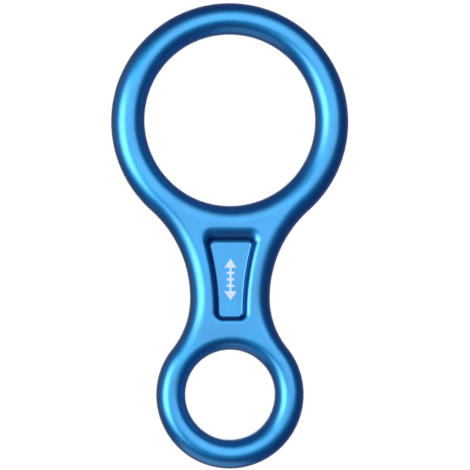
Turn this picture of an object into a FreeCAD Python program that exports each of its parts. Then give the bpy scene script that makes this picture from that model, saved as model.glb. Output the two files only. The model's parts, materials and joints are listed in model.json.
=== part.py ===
import FreeCAD, Part
import math
import os

# Rope descender of the figure-of-eight pattern: one aluminium forging with a
# large ring for the bight of rope, a narrow waist and a small eye for the
# connector, and a printed load-direction mark in the recess of the waist.
#
# Frame: millimetres, +Z up towards the large ring, +Y through the thickness,
# the marked face towards -Y. The origin is the centre of the rope bore at
# mid thickness.

# Rings. Every "drop" is a distance down from the centre of the rope bore.
ROPE_BORE_R = 26.6
RING_OUTER_R = 37.1
RING_OUTER_DROP = 0.5      # so the crown is a little thinner than the flanks
EYE_BORE_R = 13.9
EYE_OUTER_R = 23.1
EYE_DROP = 85.5

# Waist: half width and place of its narrowest section
WAIST_HALF_WIDTH = 12.5
WAIST_DROP = 55.5

# Thickness, and the large rounding on every outside edge of the forging
THICKNESS = 11.0
EDGE_ROUND = 4.4

# Recess, the same on both faces: a tapering panel whose sides are arcs that
# follow the waist. It is narrowest, with upright sides, at RECESS_SIDE_DROP.
RECESS_DEPTH = 2.8
RECESS_SIDE_R = 86.0
RECESS_SIDE_DROP = 60.0
RIM_HALF_WIDTH = 5.8
RIM_TOP_DROP = 33.6
RIM_BOTTOM_DROP = 63.1
FLOOR_HALF_WIDTH = 3.4
FLOOR_TOP_DROP = 38.2
FLOOR_BOTTOM_DROP = 61.4
RIM_CORNER_R = 2.6
FLOOR_CORNER_R = 1.2
FOOT_ROUND = 0.6
RIM_ROUND = 0.8

# Printed mark on the recess floor: an arrow with two heads along the load
# line, crossed by ticks
MARK_DROP = 49.6
MARK_LENGTH = 13.0
INK_THICKNESS = 0.05
HEAD_WIDTH = 3.8
HEAD_LENGTH = 2.8
SHAFT_WIDTH = 0.7
TICK_LENGTH = 2.4
TICK_PITCH = 2.0
TICK_COUNT = 3

HALF_THICKNESS = THICKNESS / 2.0
FLOOR_Y = -HALF_THICKNESS + RECESS_DEPTH


def point(x, z, y=0.0):
    """A point given across, up and, if needed, through the part."""
    return FreeCAD.Vector(x, y, z)


def on_circle(centre, radius, angle):
    """The point of an upright circle at an angle from +X."""
    return centre + point(radius * math.cos(angle), radius * math.sin(angle))


def circle_arc(centre, radius, start, end):
    """The arc of an upright circle between two angles."""
    middle = (start + end) / 2.0
    return Part.Arc(*[on_circle(centre, radius, angle) for angle in (start, middle, end)]).toShape()


def mirrored(shape):
    """The same shape on the other side of the part."""
    return shape.mirror(FreeCAD.Vector(0, 0, 0), FreeCAD.Vector(1, 0, 0))


def ring_and_neck(ring_drop, ring_r, crown):
    """Right-hand outline of one ring, from its crown angle, and of the waist
    arc that touches it and is upright at the narrowest section."""
    ring_centre = point(0, -ring_drop)
    rise = WAIST_DROP - ring_drop
    neck_r = (WAIST_HALF_WIDTH ** 2 + rise ** 2 - ring_r ** 2) / (2.0 * (ring_r - WAIST_HALF_WIDTH))
    neck_centre = point(WAIST_HALF_WIDTH + neck_r, -WAIST_DROP)
    touch = math.atan2(-rise, neck_centre.x)
    ring_edge = circle_arc(ring_centre, ring_r, crown, touch)
    neck_edge = circle_arc(neck_centre, neck_r, math.pi + touch, math.pi)
    return [ring_edge, neck_edge]


def body_outline():
    """Outside of the forging: two circles joined by two pairs of waist arcs,
    all tangent to each other."""
    right = ring_and_neck(RING_OUTER_DROP, RING_OUTER_R, math.pi / 2.0)
    right += ring_and_neck(EYE_DROP, EYE_OUTER_R, -math.pi / 2.0)
    return Part.Wire(Part.__sortEdges__(right + [mirrored(edge) for edge in right]))


def bore_wire(drop, radius):
    """Outline of one bore."""
    return Part.Wire(Part.makeCircle(radius, point(0, -drop), point(0, 0, 1)))


def recess_outline(half_width, top_drop, bottom_drop, y):
    """Recess outline at one depth: straight top and bottom, bowed sides."""
    def side(z):
        bow = math.sqrt(RECESS_SIDE_R ** 2 - (z + RECESS_SIDE_DROP) ** 2)
        return point(half_width + RECESS_SIDE_R - bow, z, y)

    top, bottom = side(-top_drop), side(-bottom_drop)
    right = Part.Arc(top, side(-(top_drop + bottom_drop) / 2.0), bottom).toShape()
    left = mirrored(right)
    across_top = Part.makeLine(point(-top.x, top.z, y), top)
    across_bottom = Part.makeLine(point(-bottom.x, bottom.z, y), bottom)
    return Part.Wire(Part.__sortEdges__([right, across_bottom, left, across_top]))


def recess_cutter():
    """The material that the die leaves out of the front face."""
    rim = recess_outline(RIM_HALF_WIDTH, RIM_TOP_DROP, RIM_BOTTOM_DROP, -HALF_THICKNESS)
    floor = recess_outline(FLOOR_HALF_WIDTH, FLOOR_TOP_DROP, FLOOR_BOTTOM_DROP, FLOOR_Y)
    block = Part.makeLoft([rim, floor], True, True)
    corners = [edge for edge in block.Edges if edge.BoundBox.YLength > RECESS_DEPTH / 2.0]
    block = block.makeFillet(RIM_CORNER_R, FLOOR_CORNER_R, corners)
    foot = [edge for edge in block.Edges if abs(edge.BoundBox.YMin - FLOOR_Y) < 1e-3]
    return block.makeFillet(FOOT_ROUND, foot)


def on_face(edge):
    """True for an edge that lies in the front or the back face."""
    box = edge.BoundBox
    return box.YLength < 1e-3 and abs(abs(box.YMin) - HALF_THICKNESS) < 1e-3


def beside_recess(edge):
    """True for an edge no higher and no lower than the rim of the recess."""
    box = edge.BoundBox
    return box.ZMax < -RIM_TOP_DROP + 1e-3 and box.ZMin > -RIM_BOTTOM_DROP - 1e-3


def forged_body():
    """The forging: blank with both bores, recesses and rounded edges."""
    wires = [body_outline(), bore_wire(0, ROPE_BORE_R), bore_wire(EYE_DROP, EYE_BORE_R)]
    plate = Part.makeFace(wires, "Part::FaceMakerBullseye")
    plate.translate(point(0, 0, -HALF_THICKNESS))
    body = plate.extrude(point(0, 0, THICKNESS))
    body = body.makeFillet(EDGE_ROUND, [edge for edge in body.Edges if on_face(edge)])

    front = recess_cutter()
    back = front.mirror(FreeCAD.Vector(0, 0, 0), FreeCAD.Vector(0, 1, 0))
    body = body.cut(front).cut(back)
    rims = [edge for edge in body.Edges if on_face(edge) and beside_recess(edge)]
    return body.makeFillet(RIM_ROUND, rims)


def load_mark():
    """The printed mark: two arrowheads, a shaft and ticks in one ink film."""
    tip = MARK_LENGTH / 2.0
    neck = tip - HEAD_LENGTH
    half_head = HEAD_WIDTH / 2.0

    def bar(width, height, z):
        corner = point(-width / 2.0, z - height / 2.0)
        return Part.makeBox(width, INK_THICKNESS, height, corner)

    corners = [point(0, tip), point(half_head, neck), point(-half_head, neck), point(0, tip)]
    head = Part.Face(Part.makePolygon(corners)).extrude(point(0, 0, INK_THICKNESS))
    pieces = [head, head.mirror(FreeCAD.Vector(0, 0, 0), FreeCAD.Vector(0, 0, 1))]
    for tick in range(TICK_COUNT):
        offset = (tick - (TICK_COUNT - 1) / 2.0) * TICK_PITCH
        pieces.append(bar(TICK_LENGTH, SHAFT_WIDTH, offset))
    mark = bar(SHAFT_WIDTH, 2.0 * neck, 0.0).fuse(pieces).removeSplitter()
    mark.translate(point(0, -MARK_DROP, FLOOR_Y - INK_THICKNESS))
    return mark


os.makedirs("parts", exist_ok=True)
forged_body().exportStep("parts/forged_body.step")
load_mark().exportStep("parts/load_direction_mark.step")
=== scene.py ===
# %% [markdown]
# # A forged rope descender
#
# The object is one aluminium forging in the shape of an eight, with a small
# printed mark in the panel of its waist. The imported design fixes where
# everything is, in metres, with +Z towards the large ring and the marked face
# towards -Y. This lesson makes the forging again as a fine smooth surface,
# gives both pieces their finish, and lights them as in a small studio.

# %% Load the frame
import json
import math

import bmesh
import bpy
import numpy as np
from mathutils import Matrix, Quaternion, Vector


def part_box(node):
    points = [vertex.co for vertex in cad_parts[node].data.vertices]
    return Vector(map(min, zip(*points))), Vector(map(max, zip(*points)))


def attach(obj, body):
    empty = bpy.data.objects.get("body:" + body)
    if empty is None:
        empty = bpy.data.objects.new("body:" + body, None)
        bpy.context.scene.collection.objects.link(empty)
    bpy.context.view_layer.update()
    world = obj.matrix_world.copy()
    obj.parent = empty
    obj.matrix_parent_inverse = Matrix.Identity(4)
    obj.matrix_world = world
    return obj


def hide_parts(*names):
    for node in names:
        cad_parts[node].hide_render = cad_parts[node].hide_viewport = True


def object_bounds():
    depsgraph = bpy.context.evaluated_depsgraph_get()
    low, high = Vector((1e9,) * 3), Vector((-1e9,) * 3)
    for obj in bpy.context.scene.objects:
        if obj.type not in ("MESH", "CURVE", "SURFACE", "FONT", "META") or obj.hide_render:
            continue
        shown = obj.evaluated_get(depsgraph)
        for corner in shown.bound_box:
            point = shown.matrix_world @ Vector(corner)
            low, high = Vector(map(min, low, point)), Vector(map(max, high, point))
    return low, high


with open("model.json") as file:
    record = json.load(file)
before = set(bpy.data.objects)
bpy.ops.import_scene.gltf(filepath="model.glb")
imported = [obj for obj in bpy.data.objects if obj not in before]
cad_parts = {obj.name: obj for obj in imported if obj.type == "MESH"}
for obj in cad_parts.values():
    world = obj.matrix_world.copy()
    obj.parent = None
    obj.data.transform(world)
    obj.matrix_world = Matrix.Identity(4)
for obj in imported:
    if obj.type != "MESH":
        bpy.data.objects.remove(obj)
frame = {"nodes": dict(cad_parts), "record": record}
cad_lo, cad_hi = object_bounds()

scene = bpy.context.scene
print("packed box, m:", [round(v, 4) for v in (*cad_lo, *cad_hi)])

# %% [markdown]
# ## Sizes
#
# All the shape work below is in millimetres, as a forge drawing would be. The
# rings, the bores and the thickness are read from the frame. The waist and the
# panel are sizes of the design that the frame doesn't name, so they are
# repeated here. Every "drop" is a distance down from the centre of the rope
# bore.

# %% Sizes that the frame gives
MM = 0.001

body_lo, body_hi = (np.array(corner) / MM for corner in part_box("forged_body"))
mounts = {mount["name"]: mount for mount in frame["record"]["mounts"]}
rope_bore_r = mounts["rope_ring_bore"]["dims"]["r_mm"]
eye_bore_r = mounts["connector_eye_bore"]["dims"]["r_mm"]
rope_bore = np.zeros(2)
eye_bore = np.array([0.0, mounts["connector_eye_bore"]["pos_m"][2] / MM])

half_thick = body_hi[1]
ring_r = body_hi[0]
ring_centre = np.array([0.0, body_hi[2] - ring_r])
eye_r = eye_bore[1] - body_lo[2]
print(f"large ring {2 * ring_r:.1f} mm across, small {2 * eye_r:.1f} mm, {2 * half_thick:.1f} mm thick")

# %% Sizes of the waist and of the panel
WAIST_HALF_WIDTH = 12.5
WAIST_DROP = 55.5
WAIST_ROUND = 5.6          # from the edge of the waist to where the face is flat

PANEL_SIDE_R = 82.0        # the sides are arcs, upright at PANEL_SIDE_DROP
PANEL_SIDE_DROP = 60.0
RIM = dict(half_width=6.5, top=32.9, bottom=63.3, corner=3.6)
FLOOR = dict(half_width=3.3, top=38.2, bottom=60.9, corner=1.1)
panel_depth = half_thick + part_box("load_direction_mark")[1].y / MM      # the mark lies on its floor
print(f"panel {panel_depth:.2f} mm deep")

# %% [markdown]
# ## The outline
#
# Seen from the front, the edge of the forging is two circles joined by waist
# arcs that touch them. It could be a Bezier curve drawn by eye, but circles
# that are worked out stay tangent to each other, and a highlight that runs
# along the edge shows the least kink. Only the right half is made; the left
# half is its mirror image.

# %% Small helpers for curves
def ray(angle):
    """Unit vectors in the upright plane: across is the cosine, up is the sine."""
    return np.stack([np.cos(angle), np.sin(angle)], axis=-1)


def ease(t):
    """Smooth step 3t^2 - 2t^3: from 0 to 1 with no slope at either end."""
    return t * t * (3.0 - 2.0 * t)


def wave_steps(count):
    """Numbers from 0 to 1 crowded towards both ends: half of one minus the cosine of an even turn."""
    return (1.0 - np.cos(np.linspace(0.0, np.pi, count + 1))) / 2.0


def wall_distance(centre, bore, bore_r, angle):
    """Distance from a ring's centre to the wall of its bore along each ray.
    With d from the bore's centre to the ring's, it is the far root s of |d + s ray| = bore radius."""
    d = centre - bore
    along = ray(angle) @ d
    return -along + np.sqrt(along ** 2 - d @ d + bore_r ** 2)


def waist_circle(centre, radius):
    """The circle beside the waist that touches a ring from outside and is upright at the waist.
    Its radius solves (ring radius + r)^2 = (half width + r)^2 + rise^2.
    Returns its centre, its radius and the ring's angle where the two touch."""
    rise = centre[1] + WAIST_DROP
    square = WAIST_HALF_WIDTH ** 2 + rise ** 2 - radius ** 2
    waist_r = square / (2.0 * (radius - WAIST_HALF_WIDTH))
    side = WAIST_HALF_WIDTH + waist_r
    return np.array([side, -WAIST_DROP]), waist_r, math.atan2(-rise, side)


# %% The stations along the outline
RING_COLUMNS = 120
UPPER_WAIST_COLUMNS = 52
LOWER_WAIST_COLUMNS = 28
EYE_COLUMNS = 90
RING_WEB_COLUMNS = 40
EYE_WEB_COLUMNS = 36

upper_centre, upper_r, ring_split = waist_circle(ring_centre, ring_r)
lower_centre, lower_r, eye_split = waist_circle(eye_bore, eye_r)

ring_angle = np.linspace(np.pi / 2, ring_split, RING_COLUMNS + 1)
web_angle = np.linspace(ring_split, -np.pi / 2, RING_WEB_COLUMNS + 1)
eye_angle = np.linspace(eye_split, -np.pi / 2, EYE_COLUMNS + 1)
eye_web_angle = np.linspace(eye_split, np.pi / 2, EYE_WEB_COLUMNS + 1)

ring_wall = wall_distance(ring_centre, rope_bore, rope_bore_r, ring_angle)
ring_half = (ring_r - ring_wall) / 2.0
eye_half = (eye_r - eye_bore_r) / 2.0


def waist_line(centre, radius, start, end, half_start, half_end, count):
    """Edge points along one waist circle and the steps from each to the flat of the face.
    The point is centre + radius * ray; the step is ray * half width, eased from start to end."""
    t = np.linspace(0.0, 1.0, count + 1)[:, None]
    direction = ray(np.pi + start + (end - start) * t[:, 0])
    half = half_start + (half_end - half_start) * ease(t)
    return centre + radius * direction, direction * half


upper_edge, upper_step = waist_line(
    upper_centre, upper_r, ring_split, 0.0, ring_half[-1], WAIST_ROUND, UPPER_WAIST_COLUMNS)
lower_edge, lower_step = waist_line(
    lower_centre, lower_r, 0.0, eye_split, WAIST_ROUND, eye_half, LOWER_WAIST_COLUMNS)
print(f"waist circles {upper_r:.2f} and {lower_r:.2f} mm,",
      f"touching at {math.degrees(ring_split):.1f} and {math.degrees(eye_split):.1f} deg")

# %% [markdown]
# ## The rounded section
#
# The die rounds the forging from face to face, so a slice through a ring is
# nearly a circle, a little fuller at its shoulders on the small eye. A bevel
# on flat stock would leave a band of one radius between flats and look
# machined. Here the slice is a superellipse swung from the front face round
# the edge to the back, one half for the outside and one for the bore, and both
# halves share the line where the face is highest. Below the waist the exponent
# eases from the ring's to the eye's.

# %% Strips of rounded edge
RING_SHOULDER = 2.05       # 2 is a true ellipse, more is squarer
EYE_SHOULDER = 2.2
SECTION_STEPS = 40


def rounded_strip(middle, step, shoulder):
    """Grid of points (station, swing) for half a section with one shoulder exponent n a station.
    For a swing p from -90 to 90 degrees and q = (|cos p|^n + |sin p|^n)^(1/n), the point is
    middle + step * cos p / q across and half the thickness * sin p / q through."""
    n = np.broadcast_to(shoulder, len(middle))[:, None]
    swing = np.linspace(-np.pi / 2, np.pi / 2, SECTION_STEPS + 1)
    cosine = np.abs(np.cos(swing))
    sine = np.sin(swing)
    size = (cosine ** n + np.abs(sine) ** n) ** (1.0 / n)
    across = middle[:, None, :] + step[:, None, :] * (cosine / size)[:, :, None]
    through = half_thick * sine / size
    return np.stack([across[..., 0], through, across[..., 1]], axis=-1)


ring_ray = ray(ring_angle)
ring_middle = ring_centre + ring_ray * (ring_wall + ring_half)[:, None]
web_ray = ray(web_angle)
web_wall = wall_distance(ring_centre, rope_bore, rope_bore_r, web_angle)
web_middle = ring_centre + web_ray * (web_wall + ring_half[-1])[:, None]
eye_middle = eye_bore + ray(eye_angle) * (eye_bore_r + eye_half)
eye_web_middle = eye_bore + ray(eye_web_angle) * (eye_bore_r + eye_half)
upper_middle = upper_edge + upper_step
lower_middle = lower_edge + lower_step

t = np.linspace(0.0, 1.0, LOWER_WAIST_COLUMNS + 1)[1:]
outside_shoulder = np.concatenate([
    np.full(RING_COLUMNS + 1 + UPPER_WAIST_COLUMNS, RING_SHOULDER),
    RING_SHOULDER + (EYE_SHOULDER - RING_SHOULDER) * ease(t),
    np.full(EYE_COLUMNS, EYE_SHOULDER)])

outside = rounded_strip(
    np.concatenate([ring_middle, upper_middle[1:], lower_middle[1:], eye_middle[1:]]),
    np.concatenate([ring_ray * ring_half[:, None], -upper_step[1:], -lower_step[1:],
                    ray(eye_angle[1:]) * eye_half]),
    outside_shoulder)
ring_inside = rounded_strip(
    np.concatenate([ring_middle, web_middle[1:]]),
    -np.concatenate([ring_ray * ring_half[:, None], web_ray[1:] * ring_half[-1]]),
    RING_SHOULDER)
eye_inside = rounded_strip(
    np.concatenate([eye_middle[::-1], eye_web_middle[1:]]),
    -np.concatenate([ray(eye_angle[::-1]), ray(eye_web_angle[1:])]) * eye_half,
    EYE_SHOULDER)
print("strips:", outside.shape, ring_inside.shape, eye_inside.shape)

# %% [markdown]
# ## The pressed panel
#
# A tapering panel is pressed into both faces of the waist, to save weight and
# to leave a place for the mark. Its rim and its floor have the same kind of
# outline: straight top and bottom, sides that bow with the waist, and round
# corners. The outline is one function of a number from 0 to 5, one unit for
# each of its five stretches, so that rim, floor and face share their columns.

# %% The panel's outline
def panel_outline(v, half_width, top, bottom, corner):
    """Right half of a panel outline. v runs 0-1 along the top from the middle, 1-2 round the top
    corner, 2-3 down the side, 3-4 round the bottom corner, 4-5 along the bottom to the middle.
    A corner's centre is PANEL_SIDE_R + corner away from the side's centre."""
    side_centre = np.array([half_width + PANEL_SIDE_R, -PANEL_SIDE_DROP])
    part = np.clip(np.floor(v), 0, 4)[:, None]
    t = v[:, None] - part

    def corner_at(z):
        reach = math.sqrt((PANEL_SIDE_R + corner) ** 2 - (z - side_centre[1]) ** 2)
        centre = np.array([side_centre[0] - reach, z])
        return centre, math.atan2(side_centre[1] - z, reach)

    upper, upper_turn = corner_at(-top - corner)
    lower, lower_turn = corner_at(-bottom + corner)
    along_top = np.array([upper[0], 0.0]) * t + np.array([0.0, -top])
    top_corner = upper + corner * ray((np.pi / 2 + (upper_turn - np.pi / 2) * t)[:, 0])
    side = side_centre - PANEL_SIDE_R * ray((upper_turn + (lower_turn - upper_turn) * t)[:, 0])
    bottom_corner = lower + corner * ray((lower_turn + (-np.pi / 2 - lower_turn) * t)[:, 0])
    along_bottom = np.array([lower[0], 0.0]) * (1.0 - t) + np.array([0.0, -bottom])
    stretches = [along_top, top_corner, side, bottom_corner]
    return np.select([part == k for k in range(4)], stretches, along_bottom)


# %% [markdown]
# The face around the panel is flat. Its outer border follows the bore of the
# large ring, then the waist, then the bore of the eye, and each of its columns
# ends on the rim. Where ring and waist part, the border has a sharp notch, and
# its column has to leave straight along the notch: those two columns meet the
# rim a little past the middle of its corners. Between them the columns are
# spread by eased steps, so that none of them cross.

# %% Where the columns meet the rim
UPPER_NOTCH = 1.56         # outline numbers where the two notch columns arrive
LOWER_NOTCH = 3.565
OUTLINE_END = 5.0
BORE_SPREAD = 1.6          # more crowds the columns beside the bores towards the notches

t = np.linspace(0.0, 1.0, RING_WEB_COLUMNS + 1)
beside_ring = UPPER_NOTCH * (1.0 - (1.0 - t) ** BORE_SPREAD)
t = np.linspace(0.0, 1.0, UPPER_WAIST_COLUMNS + LOWER_WAIST_COLUMNS + 1)[1:]
beside_waist = UPPER_NOTCH + (LOWER_NOTCH - UPPER_NOTCH) * ease(t)
t = np.linspace(0.0, 1.0, EYE_WEB_COLUMNS + 1)[1:]
beside_eye = LOWER_NOTCH + (OUTLINE_END - LOWER_NOTCH) * t ** BORE_SPREAD
column = np.concatenate([beside_ring, beside_waist, beside_eye])

border = np.concatenate([web_middle[::-1], upper_middle[1:], lower_middle[1:], eye_web_middle[1:]])
rim = panel_outline(column, **RIM)
floor_edge = panel_outline(column, **FLOOR)
print(f"{len(column)} columns, {np.linalg.norm(border - rim, axis=1).min():.2f} mm of face at the least")

# %% [markdown]
# The face rolls over the rim into the wall, and the wall runs into a flat floor
# with a small radius. Arcs tangent to both flats are what a die leaves; a
# chamfer would break the highlight at two hard lines. The walls of such a panel
# look darker than their slope alone makes them, so shade is painted on the steep
# part of the wall: a darkness that the finish reads later. The columns of the
# floor end on a spine down its middle.

# %% Face, wall and floor of the panel
FACE_STEPS = 10
WALL_STEPS = 26
FLOOR_STEPS = 8
RIM_SHARE = 0.80           # part of the wall's rounding that belongs to the rim, the rest to the foot
STEEPEST = math.radians(84.0)      # the die needs some draft to come out
PAINTED_SHADE_FROM = math.radians(26.0)     # slope at which painted shade starts on the wall
PAINTED_SHADE_TO = math.radians(44.0)       # and at which the painted shade is full
SPINE_ENDS = [0.0, 0.05, 0.1, 0.9, 0.95, 1.0]      # how far down it columns 0 to 5 of the outline end


def ruled(start, end, share, depth):
    """Grid (column, step) of straight lines between two curves: start + share * (end - start),
    at a depth below the front face for each step."""
    flat = start[:, None, :] + (end - start)[:, None, :] * share[..., None]
    through = np.broadcast_to(depth - half_thick, flat.shape[:2])
    return np.stack([flat[..., 0], through, flat[..., 1]], axis=-1)


def pressed_wall(width):
    """Profile of the panel's wall, walked by its length: an arc over the rim, a straight slope, an
    arc into the floor. Both arcs turn by a = 2 atan(depth / width), or by STEEPEST if that is less.
    The slope is then depth / tan(a / 2) - width long, and the radii add up to what is left of the
    width over sin a. A walk s round a radius r runs r sin(s / r) and drops r (1 - cos(s / r)).
    Returns the share of the width, the drop and the painted shade at each step."""
    width = width[:, None]
    turn = np.minimum(2.0 * np.arctan2(panel_depth, width), STEEPEST)
    slope = np.maximum(panel_depth / np.tan(turn / 2.0) - width, 0.0)
    radii = (width - slope * np.cos(turn)) / np.sin(turn)
    over, into = RIM_SHARE * radii, (1.0 - RIM_SHARE) * radii
    walk = np.linspace(0.0, 1.0, WALL_STEPS + 1) * (radii * turn + slope)
    first = np.clip(walk / over, 0.0, turn)
    middle = np.clip(walk - over * turn, 0.0, slope)
    last = turn - np.clip((walk - over * turn - slope) / into, 0.0, turn)
    run = over * np.sin(first) + middle * np.cos(turn) + into * (np.sin(turn) - np.sin(last))
    drop = over * (1.0 - np.cos(first)) + middle * np.sin(turn) + into * (np.cos(last) - np.cos(turn))
    # Painted shade: the steeper the wall, the more darkness it is given, for the finish to paint.
    steepness = np.minimum(first, last)
    painted_wall_shade = ease(np.clip((steepness - PAINTED_SHADE_FROM) / (PAINTED_SHADE_TO - PAINTED_SHADE_FROM), 0.0, 1.0))
    return run / width, drop, painted_wall_shade


wall_width = np.linalg.norm(floor_edge - rim, axis=1)
share, drop, painted_wall_shade = pressed_wall(wall_width)
spine_share = np.interp(column, np.arange(len(SPINE_ENDS)), SPINE_ENDS)
spine_z = -FLOOR["top"] + spine_share * (FLOOR["top"] - FLOOR["bottom"])
spine = np.stack([np.zeros_like(spine_z), spine_z], axis=-1)

face = ruled(border, rim, wave_steps(FACE_STEPS)[None, :], 0.0)
wall = ruled(rim, floor_edge, share, drop)
panel_floor = ruled(floor_edge, spine, wave_steps(FLOOR_STEPS)[None, :], panel_depth)
print(f"walls {wall_width.min():.1f} to {wall_width.max():.1f} mm wide")

# %% [markdown]
# ## One closed skin
#
# The grids meet point for point, so they are laid into one mesh, mirrored to
# the other side, and points that coincide are merged. Merging comes first and
# turning the faces outwards second, because half of the grids are mirror
# images and a mirror turns a face inside out.

# %% Mesh from grids
MERGE_MM = 0.002
TO_BACK = np.array([1.0, -1.0, 1.0])
TO_LEFT = np.array([-1.0, 1.0, 1.0])


def grid_quads(rows, columns, first):
    """Corner numbers of the quads of a grid whose points are numbered row by row from first."""
    corner = first + np.arange((rows - 1) * columns).reshape(rows - 1, columns)[:, :-1]
    return np.stack([corner, corner + 1, corner + columns + 1, corner + columns], axis=-1).reshape(-1, 4)


def without_painted_shade(grid):
    """No painted shade at any point of a grid."""
    return np.zeros(grid.shape[:2])


def mesh_from_grids(name, grids, painted_shade):
    """One closed mesh: all grids laid side by side, equal points merged, faces turned outwards.
    Each point keeps the shade painted on it."""
    firsts = np.cumsum([0] + [grid.shape[0] * grid.shape[1] for grid in grids])
    points = np.concatenate([grid.reshape(-1, 3) for grid in grids]) * MM
    quads = np.concatenate([grid_quads(*grid.shape[:2], first) for grid, first in zip(grids, firsts)])
    mesh = bpy.data.meshes.new(name)
    mesh.from_pydata(points.tolist(), [], quads.tolist())
    # Each point carries the shade painted on the panel's walls.
    shade_layer = mesh.attributes.new("painted_shade", "FLOAT", "POINT")
    shade_layer.data.foreach_set("value", np.concatenate([values.ravel() for values in painted_shade]))

    work = bmesh.new()
    work.from_mesh(mesh)
    bmesh.ops.remove_doubles(work, verts=work.verts, dist=MERGE_MM * MM)
    bmesh.ops.recalc_face_normals(work, faces=work.faces)
    open_edges = sum(not edge.is_manifold for edge in work.edges)
    volume = work.calc_volume(signed=True) / MM ** 3
    work.to_mesh(mesh)
    work.free()
    mesh.polygons.foreach_set("use_smooth", np.ones(len(mesh.polygons), dtype=bool))
    mesh.update()
    mesh.calc_loop_triangles()
    print(f"{name}: {len(mesh.loop_triangles)} triangles, {open_edges} open edges, {volume:.0f} mm3")
    return mesh


strips = [outside, ring_inside, eye_inside]
panel = [face, wall, panel_floor]
# Shade is painted on the walls only, none on the face and the floor.
panel_painted_shade = [without_painted_shade(face), painted_wall_shade, without_painted_shade(panel_floor)]
right_half = strips + panel + [grid * TO_BACK for grid in panel]
left_half = [grid * TO_LEFT for grid in right_half]
half_painted_shade = [without_painted_shade(grid) for grid in strips] + 2 * panel_painted_shade

skin = mesh_from_grids("descender_forging", right_half + left_half, 2 * half_painted_shade)
forging = bpy.data.objects.new("descender_forging", skin)
scene.collection.objects.link(forging)
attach(forging, "root")
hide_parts("forged_body")

# %% [markdown]
# ## Finishes
#
# Each finish is a small net of shader nodes on Object coordinates, which are
# metres on the piece itself, so a pattern keeps its true size and stays put
# from every side. One helper adds a node with its settings and its links, and
# one turns a colour from a paint chart into the light values that the shader
# works with.

# %% Helpers for finishes
def linear(code):
    """Light values of an sRGB hex colour: c / 12.92 below 0.04045, else ((c + 0.055) / 1.055) ^ 2.4."""
    part = np.array([int(code[k:k + 2], 16) for k in (1, 3, 5)]) / 255.0
    value = np.where(part <= 0.04045, part / 12.92, ((part + 0.055) / 1.055) ** 2.4)
    return (*value.tolist(), 1.0)


def add(tree, kind, feeds, **settings):
    """Adds one node, sets its properties, and feeds its sockets with a value or another node's output."""
    made = tree.nodes.new(kind)
    for name, value in settings.items():
        setattr(made, name, value)
    for socket, value in feeds.items():
        if isinstance(value, bpy.types.NodeSocket):
            tree.links.new(value, made.inputs[socket])
        else:
            made.inputs[socket].default_value = value
    return made


def new_material(name):
    """An empty node material: its node tree and the Surface socket that the finish is linked to."""
    material = bpy.data.materials.new(name)
    material.use_nodes = True
    material.node_tree.nodes.clear()
    output = material.node_tree.nodes.new("ShaderNodeOutputMaterial")
    return material, material.node_tree, output.inputs["Surface"]


def per_mm(size):
    """Texture scale for a pattern with that spacing in millimetres."""
    return 1.0 / (size * MM)


# %% [markdown]
# ### Anodised aluminium, bead-blasted and satin
#
# The forging is blasted to an even grain, brightened, and dyed blue in its
# own oxide. The dye sits in a clear layer on bright metal: the metal below
# gives broad coloured highlights, the surface of the oxide a narrower white
# sheen on top. A cloud and the grain vary the depth of the dye, and the trimmed
# seam of the dies is a shade deeper. Real blast grain is about 0.1 mm, too fine
# to see at this distance, so it is drawn at 0.5 mm and kept weak.

# %% Sizes and strengths of the finish
BLAST_GRAIN_MM = 0.5
DYE_CLOUD_MM = 14.0
HAND_POLISH_MM = 6.0
FLASH_HALF_MM = 0.45       # half width of the trimmed seam of the dies, at mid thickness
FLASH_FADE = 0.4           # share of that half width over which the seam fades, each way
GRAIN_RANGE = (0.3, 0.7)   # nearly all of the grain noise lies between these
TINT_RANGE = (0.45, 1.05)  # and the cloud with half of the grain between these
GRAIN_IN_TINT = 0.5
GRAIN_IN_RELIEF = 0.3      # against the slow waves of the hand polish
RELIEF_MM = 0.02
RELIEF_STRENGTH = 0.5
SATIN_RANGE = (0.375, 0.415)       # roughness of the blasted metal
OXIDE_GLOSS = 0.235        # roughness of the oxide's surface, smoother than the metal
OXIDE_INDEX = 1.62         # about the refractive index of an anodic film
PAINTED_SHADE_SHEEN = 0.15          # what is left of the white sheen where shade is painted on the panel's walls
GRAINY = {"Detail": 3.0, "Roughness": 0.6}         # noise with fine specks
CLOUDY = {"Detail": 2.0, "Roughness": 0.5}         # softer noise
WAVY = {"Detail": 1.0, "Roughness": 0.5}           # and the smoothest

# %% [markdown]
# The patterns come first: three noises, the seam as a band round mid thickness,
# and the shade painted on the panel's walls.

# %% Patterns of the finish
aluminium, tree, surface = new_material("anodised_aluminium_blue_bead_blasted")
place = add(tree, "ShaderNodeTexCoord", {}).outputs["Object"]
grain = add(tree, "ShaderNodeTexNoise",
            {"Vector": place, "Scale": per_mm(BLAST_GRAIN_MM), **GRAINY}).outputs["Fac"]
cloud = add(tree, "ShaderNodeTexNoise",
            {"Vector": place, "Scale": per_mm(DYE_CLOUD_MM), **CLOUDY}).outputs["Fac"]
polish = add(tree, "ShaderNodeTexNoise",
             {"Vector": place, "Scale": per_mm(HAND_POLISH_MM), **WAVY}).outputs["Fac"]
through = add(tree, "ShaderNodeSeparateXYZ", {"Vector": place}).outputs["Y"]
from_middle = add(tree, "ShaderNodeMath", {0: through}, operation="ABSOLUTE").outputs[0]
seam = add(tree, "ShaderNodeMapRange",
           {"Value": from_middle, "From Min": (1.0 - FLASH_FADE) * FLASH_HALF_MM * MM,
            "From Max": (1.0 + FLASH_FADE) * FLASH_HALF_MM * MM, "To Min": 1.0, "To Max": 0.0},
           interpolation_type="SMOOTHSTEP").outputs["Result"]
# The shade painted on the panel's walls, read from the mesh.
painted_shade = add(tree, "ShaderNodeAttribute", {}, attribute_name="painted_shade").outputs["Fac"]
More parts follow.
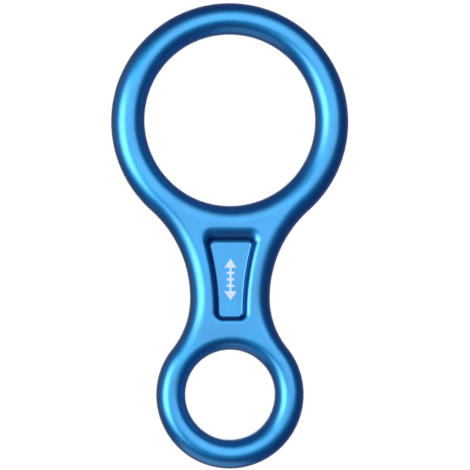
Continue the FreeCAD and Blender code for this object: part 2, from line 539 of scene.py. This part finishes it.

# %% [markdown]
# Colour, gloss and relief then read the patterns. The blue varies a little from
# place to place, the seam is a shade deeper, and shade is painted on the panel's
# walls as a deep blue with hardly any sheen, which makes the panel stand out as a
# dark frame.

# %% The finish of the forging
patch = add(tree, "ShaderNodeMath", {0: grain, 1: GRAIN_IN_TINT, 2: cloud},
            operation="MULTIPLY_ADD").outputs[0]
tint = add(tree, "ShaderNodeMapRange",
           {"Value": patch, "From Min": TINT_RANGE[0], "From Max": TINT_RANGE[1]}).outputs["Result"]
dye = add(tree, "ShaderNodeMix", {"Factor": tint, "A": linear("#048ac3"), "B": linear("#049cda")},
          data_type="RGBA").outputs["Result"]
trimmed = add(tree, "ShaderNodeMix", {"Factor": seam, "A": dye, "B": linear("#0687bf")},
              data_type="RGBA").outputs["Result"]
# Painted shade: the panel's walls turn a deep blue.
dye_with_painted_shade = add(tree, "ShaderNodeMix", {"Factor": painted_shade, "A": trimmed, "B": linear("#024e88")},
              data_type="RGBA").outputs["Result"]
# Where the shade is painted the white sheen is mostly taken away.
sheen = add(tree, "ShaderNodeMapRange",
            {"Value": painted_shade, "To Min": 1.0, "To Max": PAINTED_SHADE_SHEEN}).outputs["Result"]
gloss = add(tree, "ShaderNodeMapRange",
            {"Value": grain, "From Min": GRAIN_RANGE[0], "From Max": GRAIN_RANGE[1],
             "To Min": SATIN_RANGE[0], "To Max": SATIN_RANGE[1]}).outputs["Result"]
relief = add(tree, "ShaderNodeMath", {0: grain, 1: GRAIN_IN_RELIEF, 2: polish},
             operation="MULTIPLY_ADD").outputs[0]
bump = add(tree, "ShaderNodeBump",
           {"Height": relief, "Strength": RELIEF_STRENGTH, "Distance": RELIEF_MM * MM}).outputs["Normal"]
body = add(tree, "ShaderNodeBsdfPrincipled",
           {"Base Color": dye_with_painted_shade, "Metallic": 1.0, "Roughness": gloss, "Normal": bump,
            "Coat Weight": sheen, "Coat Roughness": OXIDE_GLOSS, "Coat IOR": OXIDE_INDEX})
tree.links.new(body.outputs[0], surface)
forging.data.materials.append(aluminium)
print(f"{aluminium.name}: {len(tree.nodes)} nodes")

# %% [markdown]
# ### White printing ink
#
# The mark is screen-printed on the floor of the panel. Ink on a blasted
# surface is matt and a little uneven, and thin enough for some blue to show
# through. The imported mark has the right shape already, so it only gets this
# finish.

# %% The finish of the mark
INK_GRAIN_MM = 0.35
INK_COVER = (0.35, 0.65)   # speckle below this lets the blue through, above it the ink is full
INK_RELIEF_MM = 0.01
INK_RELIEF_STRENGTH = 0.3
INK_ROUGHNESS = 0.55

ink, tree, surface = new_material("white_printing_ink_screened")
place = add(tree, "ShaderNodeTexCoord", {}).outputs["Object"]
speckle = add(tree, "ShaderNodeTexNoise",
              {"Vector": place, "Scale": per_mm(INK_GRAIN_MM), **GRAINY}).outputs["Fac"]
cover = add(tree, "ShaderNodeMapRange",
            {"Value": speckle, "From Min": INK_COVER[0], "From Max": INK_COVER[1]}).outputs["Result"]
tone = add(tree, "ShaderNodeMix", {"Factor": cover, "A": linear("#bcd9ec"), "B": linear("#e6f1f8")},
           data_type="RGBA").outputs["Result"]
ink_bump = add(tree, "ShaderNodeBump",
               {"Height": speckle, "Strength": INK_RELIEF_STRENGTH,
                "Distance": INK_RELIEF_MM * MM}).outputs["Normal"]
print_ink = add(tree, "ShaderNodeBsdfPrincipled",
                {"Base Color": tone, "Roughness": INK_ROUGHNESS, "Normal": ink_bump})
tree.links.new(print_ink.outputs[0], surface)
mark = frame["nodes"]["load_direction_mark"]
mark.data.materials.clear()
mark.data.materials.append(ink)
print(f"{ink.name}: {len(tree.nodes)} nodes")

# %% [markdown]
# ## The studio
#
# Satin metal shows its lights like a blurred mirror, so what stands around the
# piece matters more than how bright it is. A large soft box in front and a
# little to the right draws the wide band along every edge. A box on the left,
# brighter in its middle, draws the white line on the left flanks. A dim sheet
# far left, a strip above and a sheet below fill the sides, the top and the
# undersides, and the dark room between them gives the deep blue. One more box
# behind the piece lights its back.
#
# The bright middle is a second, smaller lamp hung a little in front of the
# left box. In one plane with it the two wouldn't add up in a reflection.

# %% Lights
centre = (cad_lo + cad_hi) / 2


def soft_box(name, azimuth, elevation, roll, distance, width, height, radiance):
    """A rectangular soft light facing the piece. Azimuth 0 is in front of the marked face and grows
    to the right, and roll turns the box about its own axis. Its power is pi * area * radiance."""
    a, e = math.radians(azimuth), math.radians(elevation)
    outwards = Vector((math.sin(a) * math.cos(e), -math.cos(a) * math.cos(e), math.sin(e)))
    light = bpy.data.lights.new(name, "AREA")
    light.shape = "RECTANGLE"
    light.size = width
    light.size_y = height
    light.energy = math.pi * width * height * radiance
    box = bpy.data.objects.new(name, light)
    box.location = centre + outwards * distance
    facing = (-outwards).to_track_quat("-Z", "Y") @ Quaternion((0.0, 0.0, 1.0), math.radians(roll))
    box.rotation_euler = facing.to_euler()
    box.visible_camera = False
    scene.collection.objects.link(box)


soft_box("main_soft_box", azimuth=13.6, elevation=14.8, roll=4,
         distance=1.5, width=1.50, height=1.29, radiance=1.72)
soft_box("left_soft_box", azimuth=-42.5, elevation=-3.8, roll=-14,
         distance=1.5, width=1.45, height=1.32, radiance=1.80)
soft_box("left_hot_spot", azimuth=-42.5, elevation=-3.8, roll=-14,
         distance=1.4, width=0.92, height=0.83, radiance=2.70)
soft_box("far_left_sheet", azimuth=-77.5, elevation=9.2, roll=0,
         distance=1.5, width=2.73, height=2.01, radiance=0.12)
soft_box("upper_strip", azimuth=2.9, elevation=44.0, roll=7,
         distance=1.5, width=1.86, height=0.33, radiance=0.81)
soft_box("low_sheet", azimuth=-100, elevation=-78, roll=-4,
         distance=0.41, width=0.36, height=0.39, radiance=0.52)
soft_box("rear_soft_box", azimuth=182, elevation=6, roll=0,
         distance=1.5, width=1.00, height=1.20, radiance=1.5)

# %% [markdown]
# ### The room
#
# The room is dark violet grey in front and a little lighter behind, so the
# metal never falls to black between the lights. What the camera sees of it is
# a plain white backdrop, which reflections don't show.

# %% Room and backdrop
REAR_STARTS = 0.215        # sine of the angle behind the piece at which the room turns lighter
REAR_FULL = 0.986

scene.view_settings.view_transform = "Standard"
world = bpy.data.worlds.new("studio_room")
scene.world = world
world.use_nodes = True
tree = world.node_tree
tree.nodes.clear()
direction = add(tree, "ShaderNodeTexCoord", {}).outputs["Generated"]
towards_back = add(tree, "ShaderNodeSeparateXYZ", {"Vector": direction}).outputs["Y"]
behind = add(tree, "ShaderNodeMapRange",
             {"Value": towards_back, "From Min": REAR_STARTS, "From Max": REAR_FULL}).outputs["Result"]
walls = add(tree, "ShaderNodeMix", {"Factor": behind, "A": linear("#504573"), "B": linear("#7c7783")},
            data_type="RGBA").outputs["Result"]
room = add(tree, "ShaderNodeBackground", {"Color": walls})
backdrop = add(tree, "ShaderNodeBackground", {"Color": linear("#ffffff")})
seen = add(tree, "ShaderNodeLightPath", {}).outputs["Is Camera Ray"]
either = add(tree, "ShaderNodeMixShader", {0: seen, 1: room.outputs[0], 2: backdrop.outputs[0]})
add(tree, "ShaderNodeOutputWorld", {"Surface": either.outputs[0]})
print(f"{world.name}: {len(tree.nodes)} nodes")

# %% [markdown]
# ### The floor
#
# The piece hangs free above a pale matt floor. The floor lies low enough to
# stay out of the front view.

# %% Floor
FLOOR_GAP = 0.35
FLOOR_R = 2.67
MOTTLE_MM = 40.0
BOARD_ROUGHNESS = 0.9
BOARD_GLOW = 0.5           # a little light of its own keeps it pale away from the boxes

bpy.ops.mesh.primitive_circle_add(vertices=96, radius=FLOOR_R, fill_type="NGON",
                                  location=(centre.x, centre.y, cad_lo.z - FLOOR_GAP))
floor = bpy.context.object
floor.name = "studio_floor"
floor.visible_glossy = False
floor.visible_diffuse = False
floor.visible_shadow = False       # the low light shines through it

board, tree, surface = new_material("pale_matt_board")
place = add(tree, "ShaderNodeTexCoord", {}).outputs["Object"]
mottle = add(tree, "ShaderNodeTexNoise",
             {"Vector": place, "Scale": per_mm(MOTTLE_MM), "Detail": 4.0}).outputs["Fac"]
shade = add(tree, "ShaderNodeMix", {"Factor": mottle, "A": linear("#eeeeec"), "B": linear("#f4f4f2")},
            data_type="RGBA").outputs["Result"]
sheet = add(tree, "ShaderNodeBsdfPrincipled",
            {"Base Color": shade, "Roughness": BOARD_ROUGHNESS,
             "Emission Color": linear("#ffffff"), "Emission Strength": BOARD_GLOW})
tree.links.new(sheet.outputs[0], surface)
floor.data.materials.append(board)
print(f"floor {2 * FLOOR_R:.2f} m across, {FLOOR_GAP:.2f} m under the piece")

# %% [markdown]
# ### The camera
#
# A long lens from a metre away, level with the middle of the piece and a
# little to its left, gives the plain front view of a catalogue.

# %% Camera
VIEW_WIDTH = 0.1466        # metres across the view, at the piece
DISTANCE = 1.0
AZIMUTH = -4.0
AIM = Vector((0.00161, 0.0, -0.03578))

camera_data = bpy.data.cameras.new("catalogue_camera")
camera = bpy.data.objects.new("catalogue_camera", camera_data)
scene.collection.objects.link(camera)
turn = math.radians(AZIMUTH)
camera.location = AIM + DISTANCE * Vector((math.sin(turn), -math.cos(turn), 0.0))
camera.rotation_euler = (math.pi / 2, 0.0, turn)
camera_data.lens = camera_data.sensor_width * DISTANCE / VIEW_WIDTH
scene.camera = camera
print(f"lens {camera_data.lens:.0f} mm")
